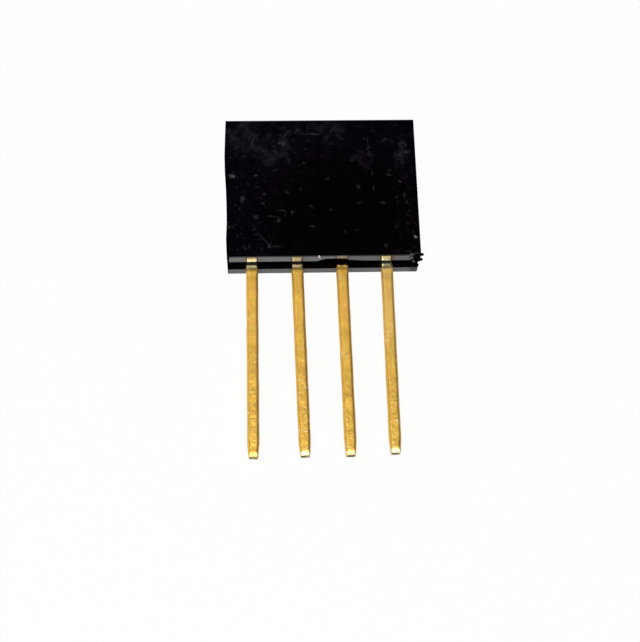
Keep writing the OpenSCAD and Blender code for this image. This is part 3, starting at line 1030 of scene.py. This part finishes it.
    def leaf(self, shell, x, z, way):
        """A flat strip bent along a line: straight, then half a cosine wave inwards over
        the spring, then a parabola outwards at the flare."""
        bend = np.linspace(0, 1, BEND_RINGS)
        flare = np.linspace(0, 1, FLARE_RINGS + 1)[1:]
        across = np.concatenate([
            [LEAF_ROOT_X],
            LEAF_ROOT_X + (LEAF_GRIP_X - LEAF_ROOT_X) * (1 - np.cos(math.pi * bend)) / 2,
            LEAF_GRIP_X + FLARE_OUT * flare ** 2])
        height = np.concatenate([
            [ANCHOR_HIGH - LEAF_SUNK], BEND_Y + (GRIP_Y - BEND_Y) * bend,
            GRIP_Y + FLARE_HEIGHT * flare])
        centre = np.column_stack([x + way * across, height, np.full(across.size, z)])
        along = np.gradient(centre, axis=0)
        along /= np.linalg.norm(along, axis=1)[:, None]
        side = np.column_stack([along[:, 1], -along[:, 0], np.zeros(across.size)])
        full = np.ones(across.size)
        rings = carry(rounded_section(*LEAF_SECTION), centre, side, LEAF_THICK / 2 * full,
                      LEAF_DEPTH / 2 * full, LEAF_ROUND * full)
        shell.add(rings, tube_faces(*rings.shape[:2]))


class HEADER_OT_dust(bpy.types.Operator):
    """Strews specks, crumbs and lint over the front of the moulding"""

    bl_idname = "header.dust"
    bl_label = "Dust and lint"

    def execute(self, context):
        look = context.scene.header_dust
        shell = Shell("shade", "cover")
        self.specks(shell)
        self.strewn(shell, look.count)
        self.hairs(shell)
        piece = shell.piece("dust", finish_material("pale_dust", pale_dust))
        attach(piece, ROOT)
        return {"FINISHED"}

    def specks(self, shell):
        """The specks that can be told apart, and the solid crumbs."""
        cover = np.repeat(DOME_COVERS, DOME_POINTS)
        for seed, (x, y, width, height, turn, grey) in enumerate(SPECKS):
            half = np.array([width, height]) / 2 * SPECK_SPREAD
            share = SPECK_SHADE + (SPECK_LEFT[1] if x < SPECK_LEFT[0] else 0)
            shell.add(*dome((x, y, FRONT_Z), half, turn, DOME_SUNK, DOME_RISE, seed),
                      shade=grey * share, cover=cover)
        for x, y, z, half, grey in CRUMBS:
            shell.add(*dome((x, y, z), (half, half), 0, CRUMB_SUNK, CRUMB_RISE, CRUMB_SEED),
                      shade=grey, cover=1.0)

    def strewn(self, shell, count):
        """Tiny specks at random places. A place is liked more the further it lies to the
        left, towards the top or towards the right edge, and the best liked are used."""
        random = np.random.default_rng(FINE_SEED)
        spot = random.uniform(*np.array(FINE_FIELD), (count * 3, 2))
        liking = np.maximum.reduce([(-1.5 - spot[:, 0]) / 4, (spot[:, 1] - 4.5) / 5,
                                    (spot[:, 0] - 4) * 0.8])
        spot = spot[np.argsort(-liking - random.uniform(0, 1, len(spot)))[:count]]
        half = random.uniform(*FINE_HALF, (count, 2))
        turn = random.uniform(0, 180, count)
        grey = random.uniform(*FINE_GREY, count)
        cover = np.repeat(DOME_COVERS, DOME_POINTS)
        for i in range(count):
            shell.add(*dome((*spot[i], FRONT_Z), half[i], turn[i], DOME_SUNK, DOME_RISE / 2,
                            FINE_DOME_SEED + i), shade=grey[i], cover=cover)

    def hairs(self, shell):
        """A flat oval tube along each hair, whose path is read off straight stretches plus
        a small sine wave, and whose width swells by another and tapers at both ends."""
        section = rounded_section(*HAIR_SECTION)
        cover = np.clip(np.sin(section[2]), 0, 1) ** 1.5
        for seed, (path, grey) in enumerate(HAIRS):
            path = np.array(path)
            run = np.concatenate([[0], np.cumsum(np.hypot(*np.diff(path, axis=0).T))])
            place = np.linspace(0, run[-1], HAIR_RINGS[0] + int(run[-1] * HAIR_RINGS[1]))
            wave = HAIR_WAVE * np.sin(place * 9 + seed)
            centre = np.column_stack([np.interp(place, run, path[:, 0]) + wave,
                                      np.interp(place, run, path[:, 1]) - wave,
                                      np.full(place.size, FRONT_Z + HAIR_LIFT)])
            along = np.gradient(centre, axis=0)
            along /= np.linalg.norm(along, axis=1)[:, None]
            side = np.column_stack([along[:, 1], -along[:, 0], np.zeros(place.size)])
            swell = 0.7 + 0.3 * np.sin(place * 13 + seed * 2)
            taper = np.interp(place, [0, HAIR_TAPER, run[-1] - HAIR_TAPER, run[-1]],
                              [HAIR_END, 1, 1, HAIR_END])
            half = HAIR_HALF * swell * taper
            rings = carry(section, centre, side, half, half * HAIR_FLAT, half * HAIR_ROUND)
            shell.add(rings, tube_faces(*rings.shape[:2]), shade=grey * HAIR_SHADE,
                      cover=np.tile(cover, len(rings)))


class HEADER_PT_panel(bpy.types.Panel):
    """Lists the steps that dress the strip"""

    bl_idname = "HEADER_PT_panel"
    bl_label = "Header Strip"
    bl_space_type = "VIEW_3D"
    bl_region_type = "UI"
    bl_category = "Header Strip"

    def draw(self, context):
        for operator in OPERATORS:
            self.layout.operator(operator.bl_idname)


OPERATORS = (HEADER_OT_stage, HEADER_OT_housing, HEADER_OT_contacts, HEADER_OT_dust)
CLASSES = (HousingLook, ContactLook, DustLook, StageLook, *OPERATORS, HEADER_PT_panel)


def register():
    for item in CLASSES:
        bpy.utils.register_class(item)
    bpy.types.Scene.header_housing = PointerProperty(type=HousingLook)
    bpy.types.Scene.header_contacts = PointerProperty(type=ContactLook)
    bpy.types.Scene.header_dust = PointerProperty(type=DustLook)
    bpy.types.Scene.header_stage = PointerProperty(type=StageLook)


def unregister():
    for name in ("header_housing", "header_contacts", "header_dust", "header_stage"):
        delattr(bpy.types.Scene, name)
    for item in reversed(CLASSES):
        bpy.utils.unregister_class(item)


def main():
    """Runs the steps in order."""
    register()
    bpy.ops.header.stage()
    bpy.ops.header.housing()
    bpy.ops.header.contacts()
    bpy.ops.header.dust()


if __name__ == "__main__":
    main()
